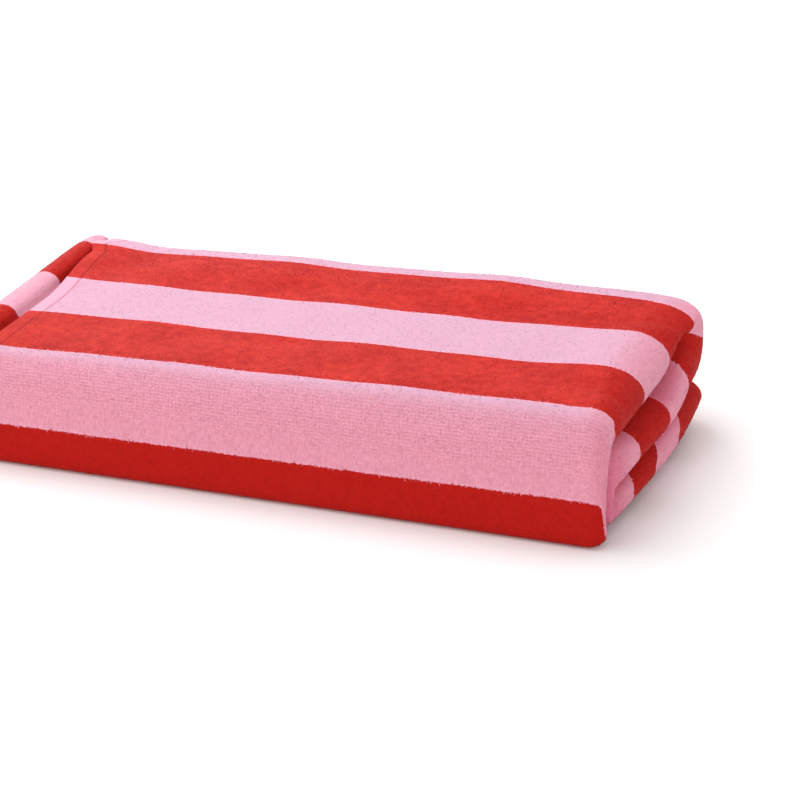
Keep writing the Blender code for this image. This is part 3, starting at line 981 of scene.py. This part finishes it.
def velour():
    """Woven stripes of sheared pile: ragged edges, patchy painted sheen on the top, painted shade in
    the folds, rows of knots, sheen.
    """
    shader = Shader("striped_velour")
    along, place, tone = shader.vector("cloth")
    rows, combed, top_sheen = shader.vector("nap_and_sheen")
    fold_shade = shader.value("fold_shade")
    across = shader.times(place, STRIPE)
    flat = shader.join(along, across)
    drawn_out = shader.join(along, shader.times(across, STREAK_STRETCH))

    streaks = shader.noise(drawn_out, *STREAK_GRAIN)
    broad = shader.noise(flat, *BROAD_GRAIN)
    patches = shader.noise(flat, *PATCH_GRAIN)
    fine = shader.noise(flat, *FINE_GRAIN)
    grain = shader.times(shader.spread(streaks, *STREAK_SPAN), combed)
    # patches of the nap, which also place the top's painted sheen in the red
    nap_and_sheen_patches = shader.more(shader.times(fine, NAP_SHEEN_FINE), patches, NAP_SHEEN_PATCHES)
    nap_and_sheen_patches = shader.spread(shader.more(nap_and_sheen_patches, broad, NAP_SHEEN_BROAD), *NAP_SHEEN_SPAN)
    even = shader.rest(nap_and_sheen_patches)
    knots = knot_rows(shader, flat, along, across, fine)
    seam = shader.math("ABSOLUTE", shader.math("SUBTRACT", shader.value("edge"), HEM_STITCH))
    seam = shader.spread(seam, *SEAM_SPAN, 1.0, 0.0)

    wave = stripe_wave(shader, flat, place, tone, streaks, combed)
    red = shader.spread(wave, *EDGE_SPAN, 1.0, 0.0)
    reds = red_pile(shader, flat, tone, nap_and_sheen_patches, even, top_sheen)
    pinks = pink_pile(shader, flat, tone, even, (rows, combed, top_sheen), knots, grain, fold_shade, wave)
    colour = shader.mix(red, pinks, reds)
    darker = shader.mix(red, PINK_DEEP, RED_DEEP)
    colour = shader.mix(shader.times(seam, SEAM_SHOWS), colour, darker)
    shader.put(shader.surface.inputs["Base Color"], colour)

    height = shader.times(knots, rows)
    marks = {"streaks": grain, "fine": fine, "patches": patches, "seam": seam}
    for name, share in BUMPS.items():
        height = shader.more(height, marks[name], share)
    bump = shader.tree.nodes.new("ShaderNodeBump")
    bump.inputs["Strength"].default_value = BUMP_STRENGTH
    bump.inputs["Distance"].default_value = BUMP_HEIGHT
    shader.put(bump.inputs["Height"], height)
    shader.put(shader.surface.inputs["Normal"], bump.outputs["Normal"])
    shader.surface.inputs["Sheen Tint"].default_value = SHEEN_TINT
    for name, value in GLOSS.items():
        shader.surface.inputs[name].default_value = value
    return shader.material


def add_towel():
    """The fine cloth and its pile."""
    grid, depths = middle_surface()
    names = [run for run, _ in rail_stations()]
    along = section_lengths(grid)
    place = stripe_places(grid, depths)
    cloth = {
        "along": along,
        "place": place,
        "nap_and_sheen": nap_and_sheen_values(names, place),
        "edge": edge_distances(grid, along),
        "fold_shade": fold_shade_values(names, grid[:, :, 1], depths),
    }
    grid = grid - np.array(MIDDLE)
    normals = surface_normals(grid)
    offset = 0.5 * CLOTH * normals
    meshes = [build_sheet("towel_cloth", grid, offset, cloth)]
    patches = growing_squares(names, grid.shape[1])
    for name, density, most_lift, rarity, seed in PILE:
        meshes.append(pile_mesh(name, grid + offset, normals, cloth, patches[name], density,
                                most_lift, rarity, seed))
    material = velour()
    for mesh in meshes:
        piece = bpy.data.objects.new(mesh.name, mesh)
        bpy.context.scene.collection.objects.link(piece)
        mesh.materials.append(material)
        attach(piece, "root")
    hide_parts("towel")


def add_floor():
    """Plain pale floor."""
    mesh = bpy.data.meshes.new("floor")
    corners = [(x * FLOOR_HALF, y * FLOOR_HALF, 0.0) for x, y in ((-1, -1), (1, -1), (1, 1), (-1, 1))]
    mesh.from_pydata(corners, [], [(0, 1, 2, 3)])
    material = bpy.data.materials.new("floor_paint")
    material.use_nodes = True
    surface = material.node_tree.nodes["Principled BSDF"]
    surface.inputs["Base Color"].default_value = FLOOR_GREY
    for name, value in FLOOR_GLOSS.items():
        surface.inputs[name].default_value = value
    mesh.materials.append(material)
    floor = bpy.data.objects.new("floor", mesh)
    bpy.context.scene.collection.objects.link(floor)


def add_lights():
    """Soft studio light: a bright room and three wide lamps, above, in front and behind."""
    world = bpy.data.worlds.new("studio")
    world.use_nodes = True
    background = world.node_tree.nodes["Background"]
    background.inputs["Color"].default_value = (1.0, 1.0, 1.0, 1.0)
    background.inputs["Strength"].default_value = ROOM_LIGHT
    bpy.context.scene.world = world
    for name, place, size, watts in LAMPS:
        data = bpy.data.lights.new(name, "AREA")
        data.shape = "DISK"
        data.size = size
        data.energy = watts
        lamp = bpy.data.objects.new(name, data)
        lamp.location = place
        lamp.rotation_euler = (-Vector(place)).to_track_quat("-Z", "Y").to_euler()
        bpy.context.scene.collection.objects.link(lamp)


def add_camera():
    """Camera at the photograph's angle: a long lens to the right of the front, looking down."""
    level_part = math.cos(ELEVATION)
    forward = Vector((-math.sin(AZIMUTH) * level_part, math.cos(AZIMUTH) * level_part,
                      -math.sin(ELEVATION)))
    right = Vector((math.cos(AZIMUTH), math.sin(AZIMUTH), 0.0))
    up = right.cross(forward)
    place = Vector(LOOK_AT) - forward * DISTANCE
    data = bpy.data.cameras.new("camera")
    data.lens = LENS
    data.sensor_width = SENSOR
    data.shift_y = LENS_SHIFT
    data.clip_end = FAR
    camera = bpy.data.objects.new("camera", data)
    camera.matrix_world = Matrix.Translation(place) @ Matrix(
        ((right.x, up.x, -forward.x, 0.0), (right.y, up.y, -forward.y, 0.0),
         (right.z, up.z, -forward.z, 0.0), (0.0, 0.0, 0.0, 1.0)))
    bpy.context.scene.collection.objects.link(camera)
    bpy.context.scene.camera = camera


bpy.context.scene.view_settings.view_transform = "Standard"
add_towel()
add_floor()
add_lights()
add_camera()
